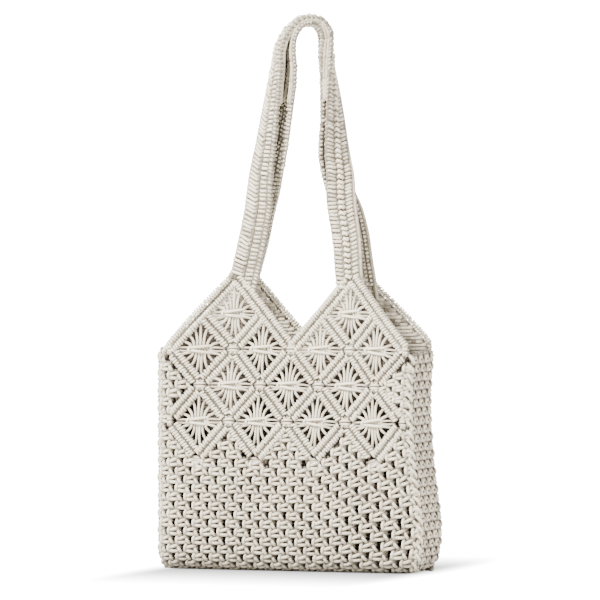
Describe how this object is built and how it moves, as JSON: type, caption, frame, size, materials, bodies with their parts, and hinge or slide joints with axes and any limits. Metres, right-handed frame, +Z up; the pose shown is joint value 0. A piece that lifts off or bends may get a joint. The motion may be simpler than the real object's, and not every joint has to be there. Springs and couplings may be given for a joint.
{
  "type": "macrame shoulder handbag",
  "caption": "Knotted cotton cord shoulder bag with a W-shaped edge, diamond panels with tied stars, a net body and two flat knotted straps, shown hanging.",
  "frame": {"origin": "the hang point: the underside of the two straps where they cross the hook", "axes": "+Z up, the bag's front faces -Y, +X to the right seen from the front"},
  "size_m": [0.3351, 0.099, 0.6666],
  "materials": {
    "cotton_cord": "matte braided cotton"
  },
  "bodies": {
    "root": {"front_net": "cotton_cord", "front_bars": "cotton_cord", "front_star_1": "cotton_cord", "front_star_2": "cotton_cord", "front_star_3": "cotton_cord", "front_star_4": "cotton_cord", "front_star_5": "cotton_cord", "front_star_6": "cotton_cord", "front_star_7": "cotton_cord", "front_star_8": "cotton_cord", "front_star_9": "cotton_cord", "front_star_10": "cotton_cord", "front_star_11": "cotton_cord", "front_star_12": "cotton_cord", "front_star_13": "cotton_cord", "front_strap": "cotton_cord", "back_net": "cotton_cord", "back_bars": "cotton_cord", "back_star_1": "cotton_cord", "back_star_2": "cotton_cord", "back_star_3": "cotton_cord", "back_star_4": "cotton_cord", "back_star_5": "cotton_cord", "back_star_6": "cotton_cord", "back_star_7": "cotton_cord", "back_star_8": "cotton_cord", "back_star_9": "cotton_cord", "back_star_10": "cotton_cord", "back_star_11": "cotton_cord", "back_star_12": "cotton_cord", "back_star_13": "cotton_cord", "back_strap": "cotton_cord", "left_gusset": "cotton_cord", "right_gusset": "cotton_cord", "base": "cotton_cord"}
  },
  "joints": []
}
